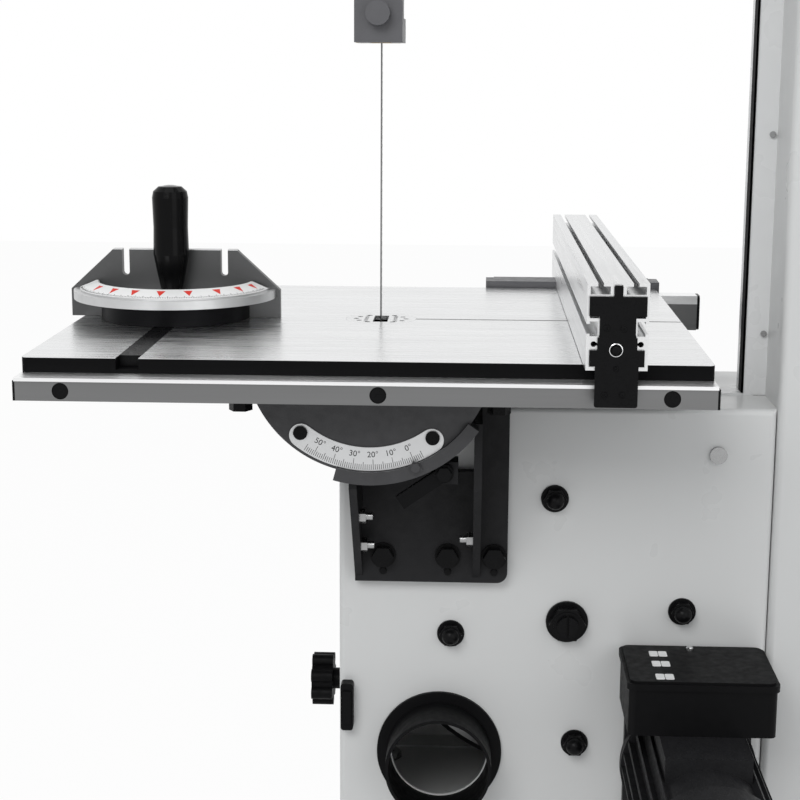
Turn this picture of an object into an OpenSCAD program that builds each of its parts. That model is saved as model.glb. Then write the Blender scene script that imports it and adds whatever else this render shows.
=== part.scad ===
// Vertical bandsaw of the 360 mm class, standing on a steel cabinet.
// X runs from the blade to the column, Y from the motor side to the doors, Z up from the floor.
// The origin is on the floor, straight below the blade.

/* [Machine] */
// Height of the table top above the floor
table_h = 880; // [870:5:900]
// Distance between the two straight runs of the blade
loop_w = 364; // [360:1:366]
// Height of the upper wheel's axis above the table top
upper_axis_h = 640; // [630:5:660]
// Depth of the lower wheel's axis below the table top
lower_axis_drop = 275; // [270:1:285]
// Thickness of the housings' sheet steel
sheet_t = 2.5; // [2:0.5:3]
// Width of the column
column_w = 120; // [110:5:140]

/* [Blade] */
// Width of the blade
blade_w = 20; // [18:1:21]
// Thickness of the blade
blade_t = 0.7; // [0.5:0.1:0.8]
// Distance between two teeth
tooth_pitch = 8.5; // [8:0.5:12]

/* [Table] */
// Width of the table
table_w = 580; // [570:5:590]
// Depth of the table
table_d = 480; // [470:5:500]
// Thickness of the table plate
plate_t = 12; // [11:0.5:13]
// Depth of the table's edge
edge_h = 35; // [34:1:40]
// Diameter of the round insert
insert_d = 68; // [64:1:72]

/* [Fence] */
// Width of the fence profile
fence_w = 50; // [48:1:54]
// Height of the fence profile
fence_h = 71; // [68:1:76]
// Length of the fence profile
fence_l = 625; // [610:5:640]
// Wall of the fence profile
fence_t = 2.6; // [2.4:0.1:3]

/* [Trunnion] */
// Radius of the trunnion discs
trunnion_r = 108.6; // [107:0.2:109]
// Number of bolts that hold the trunnion bracket
bracket_bolts_n = 3; // [2:1:3]

/* [Mitre gauge] */
// Width of the mitre gauge bar
bar_w = 18.8; // [18:0.1:20]
// Radius of the mitre gauge's protractor
protractor_r = 98; // [94:1:102]

/* [Hidden] */
$fn = 96;

// Clearances between pieces that move past each other, and between pieces that only seat
slide_gap = 0.3;
run_gap = 0.05;
seat_gap = 0.2;

t = table_h;
wheel_r = loop_w / 2;
wheel_x = wheel_r;
lower_z = t - lower_axis_drop;
upper_z = t + upper_axis_h;
tyre_r = wheel_r - blade_t / 2 - slide_gap;
tyre_t = 4;
rim_r = tyre_r - tyre_t;
rim_w = 26;
hub_r = 34;
axle_r = 10;
bearing_r = 23.5;
bearing_w = 14;

// Housings: left face, right face against the column, near and far faces
case_x0 = -34.5;
case_x1 = loop_w + 7;
case_y0 = -86;
case_y1 = 84;
bend_r = 6;
corner_r = 14;
lower_top = t - 68;
lower_bottom = lower_z - wheel_r - 22;
upper_bottom = t + 410;
upper_top = upper_z + wheel_r + 45;
door_d = 34;
column_x1 = case_x1 + column_w;

// Blade slot in the housings' facing plates
slot_half = 8;
slot_y0 = -16;

module block(x0, x1, y0, y1, z0, z1) translate([x0, y0, z0]) cube([x1 - x0, y1 - y0, z1 - z0]);
module xcyl(y, z, x0, x1, r) translate([x0, y, z]) rotate([0, 90, 0]) cylinder(h = x1 - x0, r = r);
module ycyl(x, z, y0, y1, r) translate([x, y1, z]) rotate([90, 0, 0]) cylinder(h = y1 - y0, r = r);
module zcyl(x, y, z0, z1, r) translate([x, y, z0]) cylinder(h = z1 - z0, r = r);
// Extrudes a shape drawn in X and Z along Y, and one drawn in Y and Z along X
module along_y(y0, y1) translate([0, y1, 0]) rotate([90, 0, 0]) linear_extrude(y1 - y0) children();
module along_x(x0, x1) translate([x0, 0, 0]) rotate([90, 0, 90]) linear_extrude(x1 - x0) children();
module along_z(z0, z1) translate([0, 0, z0]) linear_extrude(z1 - z0) children();
module rect(x0, x1, y0, y1) translate([x0, y0]) square([x1 - x0, y1 - y0]);

// Rectangle whose corners at the low end (ra) and the high end (rb) of the second axis are round
module soft_rect(x0, x1, y0, y1, ra, rb) {
    rect(x0 + ra, x1 - ra, y0, y0 + ra);
    rect(x0, x1, y0 + ra, y1 - rb);
    rect(x0 + rb, x1 - rb, y1 - rb, y1);
    for (x = [x0 + ra, x1 - ra])
        translate([x, y0 + ra]) circle(ra);
    for (x = [x0 + rb, x1 - rb])
        translate([x, y1 - rb]) circle(rb);
}

// Ring sector in the plane, angles counted from straight down, positive toward +X
module sector(r0, r1, a0, a1) {
    steps = 24;
    far = r1 * 1.2;
    intersection() {
        difference() {
            circle(r1);
            circle(r0);
        }
        polygon([[0, 0], for (i = [0:steps]) let (a = a0 + (a1 - a0) * i / steps) [far * sin(a), -far * cos(a)]]);
    }
}

module hex_y(x, z, y0, y1, across) translate([x, y1, z]) rotate([90, 0, 0]) cylinder(h = y1 - y0, d = across / cos(30), $fn = 6);
module hex_x(y, z, x0, x1, across) translate([x0, y, z]) rotate([0, 90, 0]) cylinder(h = x1 - x0, d = across / cos(30), $fn = 6);
module hex_z(x, y, z0, z1, across) translate([x, y, z0]) cylinder(h = z1 - z0, d = across / cos(30), $fn = 6);

// Folded sheet box, open toward the doors and toward the column, shrunk by inset on the closed sides
module case_form(z0, z1, inset) {
    x0 = case_x0 + inset;
    x1 = case_x1 + (inset > 0 ? 1 : 0);
    y1 = case_y1 + (inset > 0 ? 1 : 0);
    r = bend_r - inset;
    intersection() {
        along_z(z0 + inset, z1 - inset)
            soft_rect(x0, x1, case_y0 + inset, y1, r, 0.01);
        along_x(x0, x1)
            translate([case_y0 + inset, 0])
                union() {
                    rect(r, y1 - case_y0 - inset, z0 + inset, z1 - inset);
                    rect(0, r + 1, z0 + inset + r, z1 - inset - r);
                    for (z = [z0 + inset + r, z1 - inset - r])
                        translate([r, z]) circle(r);
                }
        along_y(case_y0 + inset, y1)
            soft_left(x0, x1, z0 + inset, z1 - inset, corner_r - inset);
    }
}

// Rectangle whose two left corners are round
module soft_left(x0, x1, z0, z1, r) {
    rect(x0 + r, x1, z0, z1);
    rect(x0, x0 + r + 1, z0 + r, z1 - r);
    for (z = [z0 + r, z1 - r])
        translate([x0 + r, z]) circle(r);
}

module case_shell(z0, z1) {
    difference() {
        case_form(z0, z1, 0);
        case_form(z0, z1, sheet_t);
    }
}

// Stand: welded cabinet with a base plate for four anchors
base_t = 6;
base_x0 = case_x0 - 30;
base_x1 = column_x1 + 30;
base_y0 = -190;
base_y1 = 150;
anchor_r = 6.5;
anchor_in = 18;
stand_bolt_x = [10, 330];
stand_bolt_y = [-60, 55];
stand_bolt_r = 5;

module stand() color("whitesmoke") difference() {
    union() {
        block(base_x0, base_x1, base_y0, base_y1, 0, base_t);
        along_z(base_t, lower_bottom)
            soft_rect(case_x0, column_x1, case_y0 - 2, case_y1, bend_r, bend_r);
        for (x = [80, 380])
            along_x(x - 2, x + 2)
                polygon([[case_y0 - 2, base_t], [base_y0 + 20, base_t], [case_y0 - 2, 110]]);
    }
    along_z(base_t, lower_bottom - 4)
        rect(case_x0 + sheet_t, column_x1 - sheet_t, case_y0 - 2 + sheet_t, case_y1 - sheet_t);
    for (x = [base_x0 + anchor_in, base_x1 - anchor_in])
        for (y = [base_y0 + anchor_in, base_y1 - anchor_in])
            zcyl(x, y, -1, base_t + 1, anchor_r);
    for (x = stand_bolt_x)
        for (y = stand_bolt_y)
            zcyl(x, y, lower_bottom - 6, lower_bottom + 1, stand_bolt_r + seat_gap);
    // Round openings at the left end, where the cabinet is lifted
    xcyl(0, lower_bottom - 90, case_x0 - 1, case_x0 + sheet_t + 1, 16);
}

// Lower housing, with the holes that its shafts, guides and dust port need
dust_x = 62;
dust_z = t - 408;
dust_r = 50;
motor_x = 299;
motor_z = t - 412;
motor_r = 64;
motor_shaft_r = 9.5;
stop_x = 262;
stop_y = -45;

module lower_housing() color("whitesmoke") difference() {
    union() {
        case_shell(lower_bottom, lower_top);
        // Boss that carries the lower wheel's shaft
        ycyl(wheel_x, lower_z, case_y0 + sheet_t - 0.5, -56, 24);
        for (a = [45:90:315])
            translate([wheel_x, 0, lower_z]) rotate([0, a, 0])
                along_x(20, 78)
                    translate([case_y0 + sheet_t - 0.5, 0]) rect(0, 16, -2, 2);
    }
    ycyl(wheel_x, lower_z, case_y0 - 1, -55, axle_r + run_gap);
    block(-slot_half, slot_half, slot_y0, case_y1 + 1, lower_top - 4, lower_top + 1);
    block(loop_w - 6, case_x1 + 1, slot_y0, case_y1 + 1, lower_top - 4, lower_top + 1);
    ycyl(motor_x, motor_z, case_y0 - 1, case_y0 + 4, 26);
    ycyl(dust_x, dust_z, case_y0 - 1, case_y0 + 4, dust_r - 4);
    for (x = stand_bolt_x)
        for (y = stand_bolt_y)
            zcyl(x, y, lower_bottom - 1, lower_bottom + 4, stand_bolt_r + seat_gap);
}

// Column: closed steel box, open at the foot
column_y0 = case_y0 - 2;

module column() color("whitesmoke") difference() {
    along_z(lower_bottom, upper_top)
        soft_rect(case_x1, column_x1, column_y0, case_y1, 7, 4);
    along_z(lower_bottom - 1, upper_top - 3)
        rect(case_x1 + 3, column_x1 - 3, column_y0 + 3, case_y1 - 3);
}

// Guide post and its sleeve
post_half = 10;
post_y0 = -54;
post_y1 = -34;
post_yc = (post_y0 + post_y1) / 2;
sleeve_h = 58;
sleeve_y0 = case_y0 + sheet_t - 0.5;
sleeve_y1 = -26;
rack_module = 1.5;
pinion_n = 16;
pinion_r = pinion_n * rack_module / 2;
pinion_y = post_y0 + rack_module - pinion_r;
pinion_z = upper_bottom + sleeve_h + 16;
pinion_shaft_r = 5;
// Wheel tensioning gear
tension_y = -69;
rail_x = 30;
carriage_rise = 45;
carriage_drop = 62;
bar_z = upper_bottom + 60;
bar_h = 12;
screw_r = 6;
guard_slot_x0 = -28;
guard_slot_x1 = 22;

module upper_housing() color("whitesmoke") difference() {
    union() {
        case_shell(upper_bottom, upper_top);
        block(-post_half - 10, post_half + 10, sleeve_y0, sleeve_y1, upper_bottom, upper_bottom + sleeve_h);
        // Ears that carry the pinion's shaft
        for (x = [-19, 12])
            along_x(x, x + 7) {
                rect(sleeve_y0, -56, upper_bottom + sleeve_h - 1, pinion_z + 2);
                translate([pinion_y, pinion_z]) circle(9);
                rect(sleeve_y0, pinion_y, pinion_z, pinion_z + 9);
            }
        // Two ways for the wheel carriage and the bar that its screw turns in
        for (s = [-1, 1])
            block(wheel_x + s * (rail_x + 6) - 6, wheel_x + s * (rail_x + 6) + 6, case_y0 + sheet_t - 0.5, -56, upper_bottom + 40, upper_z + 80);
        block(wheel_x - rail_x - 1, wheel_x + rail_x + 1, case_y0 + sheet_t - 0.5, -56, bar_z, bar_z + bar_h);
    }
    block(-post_half - slide_gap, post_half + slide_gap, post_y0 - slide_gap, post_y1 + slide_gap, upper_bottom - 1, upper_bottom + sleeve_h + 1);
    block(guard_slot_x0, guard_slot_x1, -18, case_y1 + 1, upper_bottom - 1, upper_bottom + 4);
    block(loop_w - 6, case_x1 + 1, slot_y0, case_y1 + 1, upper_bottom - 1, upper_bottom + 4);
    zcyl(wheel_x, tension_y, upper_bottom - 1, bar_z + bar_h + 1, screw_r + run_gap);
    xcyl(pinion_y, pinion_z, case_x0 - 1, 21, pinion_shaft_r + run_gap);
    // Upright slot that lets the tracking screw rise and fall with the carriage
    along_y(case_y0 - 1, case_y0 + 4) {
        rect(wheel_x - 7, wheel_x + 7, upper_z - tracking_drop - 22, upper_z - tracking_drop + 4);
        translate([wheel_x, upper_z - tracking_drop - 22]) circle(7);
        translate([wheel_x, upper_z - tracking_drop + 4]) circle(7);
    }
}

// Guard over the blade's return run, an angle screwed to the column and to the lower housing
guard_x0 = loop_w - 15;
guard_y0 = -14;
guard_y1 = 24;

module return_guard() color("whitesmoke") union() {
    along_z(lower_top, upper_bottom)
        union() {
            rect(guard_x0, case_x1, guard_y0, guard_y0 + 1.5);
            rect(guard_x0, guard_x0 + 1.5, guard_y0, guard_y1);
            rect(guard_x0, guard_x0 + 8, guard_y1 - 1.5, guard_y1);
        }
    block(guard_x0 - 34, guard_x0 + 1, guard_y0, guard_y0 + 22, lower_top, lower_top + 2);
}

// Door hinges: a leaf on the column, a knuckle and its riveted pin
hinge_x = case_x1 + 5;
hinge_y = case_y1 + door_d / 2;
knuckle_r = 5;
hinge_pin_r = 2.5;
lower_hinges = [lower_bottom + 70, lower_top - 70];
upper_hinges = [upper_bottom + 70, upper_top - 70];

module hinge_brackets() color("dimgray")
    for (z = concat(lower_hinges, upper_hinges)) {
        block(case_x1 + 1, case_x1 + 34, case_y1, case_y1 + 3, z - 22, z + 22);
        block(hinge_x - 4, hinge_x + 4, case_y1 + 2, hinge_y - 2, z - 10, z + 10);
        zcyl(hinge_x, hinge_y, z - 10, z + 10, knuckle_r);
        zcyl(hinge_x, hinge_y, z - 22, z + 22, hinge_pin_r);
    }

// Lower wheel's fixed shaft, with a flange behind the boss and a slotted end
module lower_shaft() color("silver") difference() {
    union() {
        ycyl(wheel_x, lower_z, case_y0 - 20, 20, axle_r);
        ycyl(wheel_x, lower_z, -56, -50, 22);
    }
    block(wheel_x - 1.2, wheel_x + 1.2, case_y0 - 21, case_y0 - 16, lower_z - 11, lower_z + 11);
}

// Black fittings of the near wall: the shaft's washer and nut, four cap nuts that set the shaft
// square, the bolts and pins that hold the trunnion bracket, and the clamp lever's stud
module wall_fasteners() color("black") {
    difference() {
        union() {
            ycyl(wheel_x, lower_z, case_y0 - 3, case_y0, 20);
            hex_y(wheel_x, lower_z, case_y0 - 14, case_y0 - 3, 30);
            ycyl(wheel_x, lower_z, case_y0 - 15, case_y0 - 14, 13.5);
        }
        ycyl(wheel_x, lower_z, case_y0 - 16, case_y0 + 1, axle_r + run_gap);
    }
    for (p = adjusters)
        translate([wheel_x + p[0], 0, lower_z + p[1]]) {
            ycyl(0, 0, case_y0 - 2, case_y0, 13);
            hex_y(0, 0, case_y0 - 10, case_y0 - 2, 19);
            translate([0, case_y0 - 10, 0]) rotate([90, 0, 0])
                rotate_extrude()
                    intersection() {
                        square([8.5, 8.5]);
                        circle(8.5);
                    }
        }
    for (x = bolt_xs) {
        hex_y(x, bolt_z, plate_y0 - 11, plate_y0 - 2.5, 18);
        ycyl(x, bolt_z, plate_y0 - 2.5, plate_y0, 12);
        ycyl(x, bolt_z, plate_y0 - 1, case_y0, bolt_r);
        ycyl(x, bolt_z - pin_drop, plate_y0 - 2, case_y0, pin_r);
    }
    ycyl(lever_x, lever_z, disc_y0 - 0.5, disc_y0 + disc_t + 20, stud_r);
    hex_y(lever_x, lever_z, disc_y0 - 4, disc_y0, 12);
}
adjusters = [[-14, 120], [-110, -14], [108, 12], [10, -122]];

// Cast bracket on the near wall: plate, two ribs, web and two cradles for the trunnion discs
cradle_gap = 0.4;
cradle_r0 = trunnion_r + cradle_gap;
cradle_r1 = trunnion_r + 9;
disc_y0 = -190;
disc_t = 12;
disc2_y0 = -112;
plate_y0 = case_y0 - 12;
bracket_x0 = -18.5;
bracket_x1 = 124.5;
bracket_z0 = t - 235;
rib_x = [bracket_x0, 92];
rib_t = 7;
rib_front_z = t - 126;
cradle_a0 = -15.3;
cradle_a1 = 54.5;
lever_x = 66;
lever_z = t - 108;
stud_r = 5;

module trunnion_bracket() color("#2b2b2b") difference() {
    union() {
        along_y(plate_y0, case_y0)
            difference() {
                union() {
                    rect(bracket_x0, bracket_x1, bracket_z0 + 10, t - 128);
                    rect(bracket_x0, bracket_x1 - 10, bracket_z0, bracket_z0 + 11);
                    translate([bracket_x1 - 10, bracket_z0 + 10]) circle(10);
                    rect(rib_x[1] + 4, bracket_x1, t - 129, t - 60);
                }
                translate([0, t]) circle(cradle_r0);
            }
        for (x = rib_x)
            along_x(x, x + rib_t)
                polygon([[plate_y0 + 1, bracket_z0 + 4], [disc_y0 + disc_t, rib_front_z],
                    [disc_y0 + disc_t, rib_top(x)], [plate_y0 + 1, rib_top(x)]]);
        // Boss under the cradle that takes the clamp stud
        block(lever_x - 12, lever_x + 12, disc_y0 + disc_t, disc_y0 + disc_t + 24, lever_z - 12, t - 100);
        for (y = [disc_y0, disc2_y0])
            translate([0, 0, t])
                along_y(y, y + disc_t + 1)
                    sector(cradle_r0, cradle_r1, cradle_a0, cradle_a1);
        translate([0, 0, t])
            along_y(disc_y0 + disc_t, disc2_y0 + 1)
                sector(cradle_r0 + 2.5, cradle_r1, cradle_a0, cradle_a1);
    }
    ycyl(lever_x, lever_z, disc_y0 + disc_t - 1, disc_y0 + disc_t + 20, stud_r + seat_gap);
    for (x = bolt_xs)
        ycyl(x, bolt_z, plate_y0 - 1, case_y0 + 1, bolt_r + seat_gap);
    for (x = bolt_xs)
        ycyl(x, bolt_z - pin_drop, plate_y0 - 1, case_y0 + 1, pin_r + seat_gap);
}
function rib_top(x) = t - sqrt(cradle_r1 * cradle_r1 - pow(x < 0 ? -x : x + rib_t / 2, 2)) + 3;
bolt_z = t - 209;
bolt_r = 6;
bolt_xs = [for (i = [0:bracket_bolts_n - 1]) [8, 112, 68.5][i]];
// Set pins below the bolts
pin_drop = 15.5;
pin_r = 3.2;

// Saddle: arc lip in front of the disc, with the index pointer
module saddle() color("#3a3a3a") {
    translate([0, 0, t])
        along_y(disc_y0 - 6, disc_y0 - slide_gap)
            sector(trunnion_r - 2.4, cradle_r1, cradle_a0, cradle_a1);
    translate([0, 0, t])
        along_y(disc_y0 - 1, disc_y0)
            sector(cradle_r0 + 1, cradle_r1, cradle_a0, cradle_a1);
    translate([0, 0, t]) rotate([0, -index_a, 0]) {
        along_y(disc_y0 - 8, disc_y0 - 5.9)
            polygon([[-5, -trunnion_r - 5], [5, -trunnion_r - 5], [5, -trunnion_r + 1], [0, -trunnion_r + 6], [-5, -trunnion_r + 1]]);
        ycyl(0, -trunnion_r, disc_y0 - 11, disc_y0 - 7, 4);
    }
}
index_a = 22.3;

// Small bright fasteners on the frame: jam bolts, guard screws, stop bolt, stand bolts
module frame_fasteners() color("silver") {
    for (p = [[-138, t - 161], [-114, t - 195]]) {
        hex_x(p[0], p[1], bracket_x0 + rib_t, bracket_x0 + rib_t + 6, 12);
        xcyl(p[0], p[1], bracket_x0 + rib_t + 5, bracket_x0 + rib_t + 12, 3.5);
    }
    hex_x(-118, t - 187, rib_x[1] - 6, rib_x[1], 12);
    xcyl(-118, t - 187, rib_x[1] - 12, rib_x[1] - 5, 3.5);
    for (z = [t - 8, t + 180, t + 368])
        ycyl(loop_w + 2.5, z, guard_y0 - 2.5, guard_y0, 3);
    ycyl(318, t - 111, case_y0 - 4, case_y0, 8);
    zcyl(stop_x, stop_y, lower_top, t - plate_t - slide_gap, 5);
    hex_z(stop_x, stop_y, lower_top, lower_top + 7, 17);
    zcyl(stop_x, stop_y, t - plate_t - 6, t - plate_t - slide_gap, 8);
    for (x = stand_bolt_x)
        for (y = stand_bolt_y) {
            zcyl(x, y, lower_bottom - 10, lower_bottom + sheet_t, stand_bolt_r);
            hex_z(x, y, lower_bottom + sheet_t, lower_bottom + sheet_t + 7, 17);
            hex_z(x, y, lower_bottom - 12, lower_bottom - 4, 17);
        }
}

// Blade guides: two blocks beside the blade and a thrust bearing behind it
thrust_r = 9;
thrust_w = 7;
thrust_pin_r = 3;
thrust_y = -blade_w / 2 - slide_gap - thrust_r;
guide_body_y0 = -60;
guide_body_y1 = -31;
guide_arm_y1 = 8;
block_x = blade_t / 2 + slide_gap;
block_y0 = -8;
block_y1 = 4;
lower_guide_z = t - 57;
upper_guide_z = t + 272;

module guide_blocks(z, x1) {
    for (s = [-1, 1])
        translate([s * (block_x + x1) / 2, (block_y0 + block_y1) / 2, z])
            cube([x1 - block_x, block_y1 - block_y0, 12], center = true);
}

// Two arms with square windows for the blocks and a pin for the thrust bearing
module guide_arms(z, z0, z1, x0, x1) {
    difference() {
        for (s = [-1, 1])
            block(s > 0 ? x0 : -x1, s > 0 ? x1 : -x0, guide_body_y1 - 1, guide_arm_y1, z0, z1);
        block(-x1 - 1, x1 + 1, block_y0, block_y1, z - 6, z + 6);
    }
    xcyl(thrust_y, z, -x0 - 1, x0 + 1, thrust_pin_r);
    for (s = [-1, 1])
        xcyl(thrust_y, z, s > 0 ? thrust_w / 2 + slide_gap : -x0 - 0.5, s > 0 ? x0 + 0.5 : -thrust_w / 2 - slide_gap, thrust_pin_r + 2);
}

module thrust_ring(z) difference() {
    xcyl(thrust_y, z, -thrust_w / 2, thrust_w / 2, thrust_r);
    xcyl(thrust_y, z, -thrust_w, thrust_w, thrust_pin_r + run_gap);
    for (s = [-1, 1])
        translate([s * (thrust_w / 2), 0, 0]) difference() {
            xcyl(thrust_y, z, -0.6, 0.6, thrust_r - 2);
            xcyl(thrust_y, z, -1, 1, thrust_pin_r + 2);
        }
}

module lower_guide_bracket() color("#3a3a3a") {
    block(-20, 20, guide_body_y0, guide_body_y1, lower_top, lower_guide_z + 11);
    guide_arms(lower_guide_z, lower_top + 2, lower_guide_z + 11, slot_half, 18);
    for (x = [-26, 26])
        zcyl(x, -45, lower_top, lower_top + 5, 7);
    block(-26, 26, -52, -38, lower_top, lower_top + 4);
    guide_blocks(lower_guide_z, 19);
}

module lower_thrust_bearing() color("silver") thrust_ring(lower_guide_z);

module guide_head() color("#3a3a3a") {
    difference() {
        block(-22, 22, guide_body_y0, guide_body_y1, upper_guide_z - 10, upper_guide_z + 30);
        block(-post_half, post_half, post_y0, post_y1 + 0.001, upper_guide_z + 2, upper_guide_z + 31);
        ycyl(0, upper_guide_z + 16, guide_body_y0 - 1, post_y0 + 1, 4 + seat_gap);
    }
    guide_arms(upper_guide_z, upper_guide_z - 10, upper_guide_z + 12, 10, 22);
    ycyl(0, upper_guide_z + 16, guide_body_y0 - 5, post_y0, 4);
    ycyl(0, upper_guide_z + 16, guide_body_y0 - 12, guide_body_y0 - 4, 11);
}

module upper_guide_blocks() color("lightgray") guide_blocks(upper_guide_z, 22 - slide_gap);
module upper_thrust_bearing() color("silver") thrust_ring(upper_guide_z);

// Post with its rack on the near face
post_l = 478;
post_z0 = upper_guide_z + 2;
rack_pitch = PI * rack_module;
rack_n = floor((post_l - 40) / rack_pitch);
rack_z0 = pinion_z - rack_pitch / 2 - floor((pinion_z - post_z0 - 36) / rack_pitch) * rack_pitch;

module guide_post() color("silver") difference() {
    block(-post_half, post_half, post_y0, post_y1, post_z0, post_z0 + post_l);
    // Gaps of the rack: narrow at the root, open toward the pinion
    along_x(-post_half - 1, post_half + 1)
        for (i = [0:rack_n - 1])
            translate([post_y0, rack_z0 + i * rack_pitch])
                polygon([[-1, 0.25], [2.9, 1], [2.9, rack_pitch - 1.35], [-1, rack_pitch - 0.6]]);
}

// Sheet guard that hides the blade above the guides
guard_l = 390;

module blade_guard() color("gold")
    along_z(upper_guide_z - 10, upper_guide_z - 10 + guard_l)
        union() {
            rect(-23.5, -22, -12, 18.5);
            rect(-23.5, 17, 17, 18.5);
        }

// Post's rise and fall: handwheel, shaft and pinion
module hand_wheel(r, hub, spokes, thick) {
    rotate_extrude()
        translate([r - thick / 2, thick / 2]) circle(d = thick);
    cylinder(h = thick + 4, r = hub);
    for (i = [0:spokes - 1])
        rotate([0, 0, i * 360 / spokes])
            translate([0, -5, thick / 2 - 3]) cube([r - 8, 10, 6]);
}

module guide_handwheel() color("#222222") {
    xcyl(pinion_y, pinion_z, case_x0 - 34, 19, pinion_shaft_r);
    translate([case_x0 - 30, pinion_y, pinion_z]) rotate([0, 90, 0]) hand_wheel(52, 14, 5, 12);
    xcyl(pinion_y, pinion_z, case_x0 - 14, case_x0 - slide_gap, 11);
    xcyl(pinion_y - 38, pinion_z, case_x0 - 60, case_x0 - 24, 8);
    // Pinion with its teeth a little narrow, so that it runs free in the rack
    translate([-9, pinion_y, pinion_z]) rotate([90, 0, 90]) linear_extrude(18)
        union() {
            circle(pinion_r - 2);
            for (i = [0:pinion_n - 1])
                rotate(i * 360 / pinion_n)
                    polygon([[pinion_r - 3, -1], [pinion_r, -0.8], [pinion_r + 1.3, -0.4],
                        [pinion_r + 1.3, 0.4], [pinion_r, 0.8], [pinion_r - 3, 1]]);
        }
}

// Motor: finned body with its fan cover, on a flange, and the terminal box
motor_y0 = -300;
motor_y1 = case_y0 - 10;

module motor_body() color("#33363a") difference() {
    union() {
        ycyl(motor_x, motor_z, motor_y0, motor_y1, motor_r - 8);
        ycyl(motor_x, motor_z, motor_y1 - 12, motor_y1, motor_r);
        ycyl(motor_x, motor_z, motor_y0, motor_y0 + 10, motor_r);
        for (a = [0:12:348])
            if (a < 60 || a > 120)
                translate([motor_x, 0, motor_z]) rotate([0, -a, 0])
                    block(motor_r - 10, motor_r - 1, motor_y0 + 5, motor_y1 - 5, -1.3, 1.3);
        block(motor_x - 60, motor_x + 60, motor_y1 - 1, case_y0, motor_z - 60, motor_z + 60);
        block(motor_x - 38, motor_x + 38, motor_y0 + 60, motor_y1 - 20, motor_z + 20, box_z0);
        ycyl(motor_x, motor_z, motor_y0 - 44, motor_y0 + 1, motor_r + 2);
    }
    ycyl(motor_x, motor_z, motor_y0 + 30, case_y0 + 1, motor_shaft_r + run_gap);
    // Air slots of the fan cover
    for (a = [0:30:330])
        translate([motor_x, 0, motor_z]) rotate([0, a, 0])
            block(16, motor_r - 10, motor_y0 - 45, motor_y0 - 36, -3, 3);
}

box_z0 = t - 346;
lid_z0 = t - 303;
lid_z1 = t - 295;
box_x0 = 231;
box_x1 = 367;
box_y0 = -192;
box_y1 = -90;

module terminal_box() color("#202124") difference() {
    along_z(box_z0, lid_z0)
        soft_rect(box_x0 + 2, box_x1 - 2, box_y0 + 2, box_y1 - 2, 6, 6);
    along_z(box_z0 + 3, lid_z0 + 1)
        rect(box_x0 + 9, box_x1 - 9, box_y0 + 9, box_y1 - 9);
}

module terminal_lid() color("#202124") union() {
    along_z(lid_z0, lid_z1 - 2)
        soft_rect(box_x0, box_x1, box_y0, box_y1, 8, 8);
    along_z(lid_z1 - 2, lid_z1)
        soft_rect(box_x0 + 3, box_x1 - 3, box_y0 + 3, box_y1 - 3, 7, 7);
}

// Drive: ribbed pulleys and the belt round them
belt_y0 = -46;
belt_y1 = -28;
wheel_pulley_r = 60;
motor_pulley_r = 24;
belt_t = 4;

module belt_loop(grow) hull() {
    translate([wheel_x, lower_z]) circle(wheel_pulley_r + grow);
    translate([motor_x, motor_z]) circle(motor_pulley_r + grow);
}

module drive_belt() color("#1c1c1c") along_y(belt_y0, belt_y1) difference() {
    belt_loop(slide_gap + seat_gap + belt_t);
    belt_loop(slide_gap + seat_gap);
}

// Pulley face with grooves for the ribs of the belt
module ribbed_pulley(x, z, r, y0, y1) difference() {
    ycyl(x, z, y0, y1, r);
    for (i = [0:5])
        translate([x, belt_y0 + 3 + i * 2.4, z]) rotate([90, 0, 0]) rotate_extrude()
            translate([r, 0]) circle(0.8, $fn = 6);
}

module motor_pulley() color("silver") union() {
    ribbed_pulley(motor_x, motor_z, motor_pulley_r, belt_y0 - 2, belt_y1 + 2);
    for (y = [belt_y0 - 5, belt_y1 + 2])
        ycyl(motor_x, motor_z, y, y + 3, motor_pulley_r + 5);
    ycyl(motor_x, motor_z, motor_y0 + 31, belt_y1 + 4, motor_shaft_r);
    hex_y(motor_x, motor_z, belt_y1 + 4, belt_y1 + 10, 14);
}

// Outlet for a hose of 100 mm
dust_y0 = case_y0 - 50;

module dust_port() color("#222222") difference() {
    union() {
        ycyl(dust_x, dust_z, dust_y0, case_y0, dust_r);
        ycyl(dust_x, dust_z, case_y0 - 4, case_y0, dust_r + 10);
    }
    ycyl(dust_x, dust_z, dust_y0 - 1, case_y0 + 1, dust_r - 3);
}

module door_switch() color("#1c1c1c") {
    along_y(case_y0 - 12, case_y0)
        soft_rect(case_x0 + 2, case_x0 + 14, t - 385, t - 338, 3, 3);
    block(case_x0 + 4, case_x0 + 12, case_y0 - 14, case_y0 - 12, t - 378, t - 345);
}

// Switch box on the column's front, with two push buttons
switch_x = case_x1 + column_w / 2;
switch_z = t + 140;
switch_y0 = case_y1;
switch_y1 = case_y1 + 46;
button_r = [11, 15];
button_z = [switch_z + 26, switch_z - 24];
button_travel = 4;

module switch_box() color("#2b2d30") difference() {
    along_y(switch_y0, switch_y1)
        soft_rect(switch_x - 34, switch_x + 34, switch_z - 60, switch_z + 60, 8, 8);
    for (i = [0, 1])
        ycyl(switch_x, button_z[i], switch_y1 - 14, switch_y1 + 1, button_r[i] + slide_gap);
}

module button(i, out) difference() {
    union() {
        ycyl(switch_x, button_z[i], switch_y1 - 14 + button_travel + 1, switch_y1 + out, button_r[i]);
    }
    translate([switch_x, switch_y1 + out + 38, button_z[i]]) sphere(r = 39);
}

module start_button() color("green") button(0, 3);
module stop_button() color("red") button(1, 7);

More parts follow.
